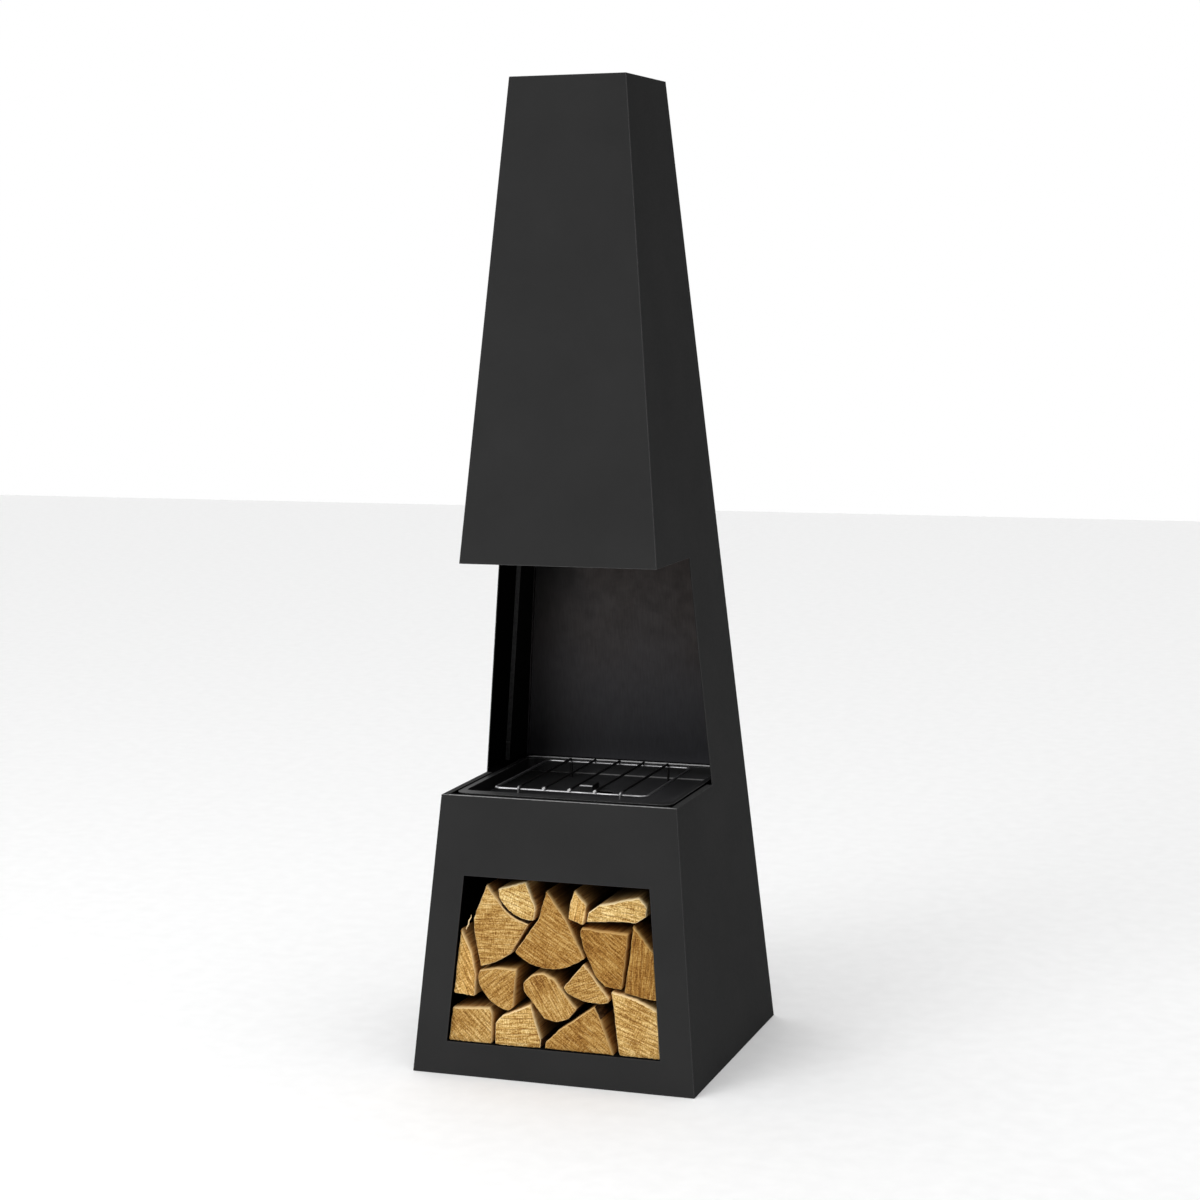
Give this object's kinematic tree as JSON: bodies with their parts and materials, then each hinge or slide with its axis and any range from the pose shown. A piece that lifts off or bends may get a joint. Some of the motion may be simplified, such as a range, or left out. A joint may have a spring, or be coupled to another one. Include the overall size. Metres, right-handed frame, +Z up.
{
  "type": "chiminea",
  "caption": "Tapering black sheet-steel garden fire tower with a hooded three-sided firebox, lift-out fire tray and grill, and a log store in its foot.",
  "frame": {"origin": "on the ground, at the centre of the foot", "axes": "+Z up, the open front towards -Y, +X to the right seen from the front"},
  "size_m": [0.45, 0.45, 1.5],
  "materials": {
    "body_paint": "matt heat-resistant black powder coat",
    "frame_paint": "matt black",
    "shield_black": "sooted matt black",
    "heat_plate": "bare steel darkened and tinted by heat",
    "tray_enamel": "satin dark grey enamel",
    "grill_wire": "plated wire, dulled",
    "fasteners": "zinc-plated",
    "firewood": "dry split hardwood"
  },
  "bodies": {
    "root": {"side_panel_left": "body_paint", "side_panel_right": "body_paint", "back_panel": "body_paint", "box_front_panel": "body_paint", "hood_front_panel": "body_paint", "box_angle_left": "frame_paint", "box_angle_right": "frame_paint", "hood_angle_left": "frame_paint", "hood_angle_right": "frame_paint", "rear_angle_left": "frame_paint", "rear_angle_right": "frame_paint", "back_bolts": "fasteners", "back_nuts": "fasteners", "store_floor": "frame_paint", "floor_ledge_left": "frame_paint", "floor_ledge_right": "frame_paint", "floor_screws": "fasteners", "heat_guard": "heat_plate", "guard_ledge_left": "frame_paint", "guard_ledge_right": "frame_paint", "guard_screws": "fasteners", "shield_back": "heat_plate", "shield_wing_left": "shield_black", "shield_wing_right": "shield_black", "wing_clips": "fasteners", "shield_bosses": "fasteners", "shield_bolts": "fasteners", "tray_rail_left": "frame_paint", "tray_rail_right": "frame_paint"},
    "tray": {"fire_tray": "tray_enamel", "air_cowl": "tray_enamel"},
    "grill": {"grill_frame": "grill_wire", "grill_bars": "grill_wire", "grill_legs": "grill_wire"},
    "log_01": {"log_01": "firewood"},
    "log_02": {"log_02": "firewood"},
    "log_03": {"log_03": "firewood"},
    "log_04": {"log_04": "firewood"},
    "log_05": {"log_05": "firewood"},
    "log_06": {"log_06": "firewood"},
    "log_07": {"log_07": "firewood"},
    "log_08": {"log_08": "firewood"},
    "log_09": {"log_09": "firewood"},
    "log_10": {"log_10": "firewood"},
    "log_11": {"log_11": "firewood"},
    "log_12": {"log_12": "firewood"},
    "log_13": {"log_13": "firewood"},
    "log_14": {"log_14": "firewood"},
    "log_15": {"log_15": "firewood"}
  },
  "joints": [
    {"name": "tray_lift", "type": "slide", "parent": "root", "child": "tray", "axis": [0.09, -0.25, 0.9641], "range_m": [0, 0.041]},
    {"name": "grill_lift", "type": "slide", "parent": "tray", "child": "grill", "axis": [0, 0, 1], "range_m": [0, 0.12]},
    {"name": "log_01_draw", "type": "slide", "parent": "root", "child": "log_01", "axis": [0, -1, 0], "range_m": [0, 0.34]},
    {"name": "log_02_draw", "type": "slide", "parent": "root", "child": "log_02", "axis": [0, -1, 0], "range_m": [0, 0.34]},
    {"name": "log_03_draw", "type": "slide", "parent": "root", "child": "log_03", "axis": [0, -1, 0], "range_m": [0, 0.34]},
    {"name": "log_04_draw", "type": "slide", "parent": "root", "child": "log_04", "axis": [0, -1, 0], "range_m": [0, 0.34]},
    {"name": "log_05_draw", "type": "slide", "parent": "root", "child": "log_05", "axis": [0, -1, 0], "range_m": [0, 0.34]},
    {"name": "log_06_draw", "type": "slide", "parent": "root", "child": "log_06", "axis": [0, -1, 0], "range_m": [0, 0.34]},
    {"name": "log_07_draw", "type": "slide", "parent": "root", "child": "log_07", "axis": [0, -1, 0], "range_m": [0, 0.34]},
    {"name": "log_08_draw", "type": "slide", "parent": "root", "child": "log_08", "axis": [0, -1, 0], "range_m": [0, 0.34]},
    {"name": "log_09_draw", "type": "slide", "parent": "root", "child": "log_09", "axis": [0, -1, 0], "range_m": [0, 0.34]},
    {"name": "log_10_draw", "type": "slide", "parent": "root", "child": "log_10", "axis": [0, -1, 0], "range_m": [0, 0.34]},
    {"name": "log_11_draw", "type": "slide", "parent": "root", "child": "log_11", "axis": [0, -1, 0], "range_m": [0, 0.34]},
    {"name": "log_12_draw", "type": "slide", "parent": "root", "child": "log_12", "axis": [0, -1, 0], "range_m": [0, 0.34]},
    {"name": "log_13_draw", "type": "slide", "parent": "root", "child": "log_13", "axis": [0, -1, 0], "range_m": [0, 0.34]},
    {"name": "log_14_draw", "type": "slide", "parent": "root", "child": "log_14", "axis": [0, -1, 0], "range_m": [0, 0.34]},
    {"name": "log_15_draw", "type": "slide", "parent": "root", "child": "log_15", "axis": [0, -1, 0], "range_m": [0, 0.34]}
  ]
}
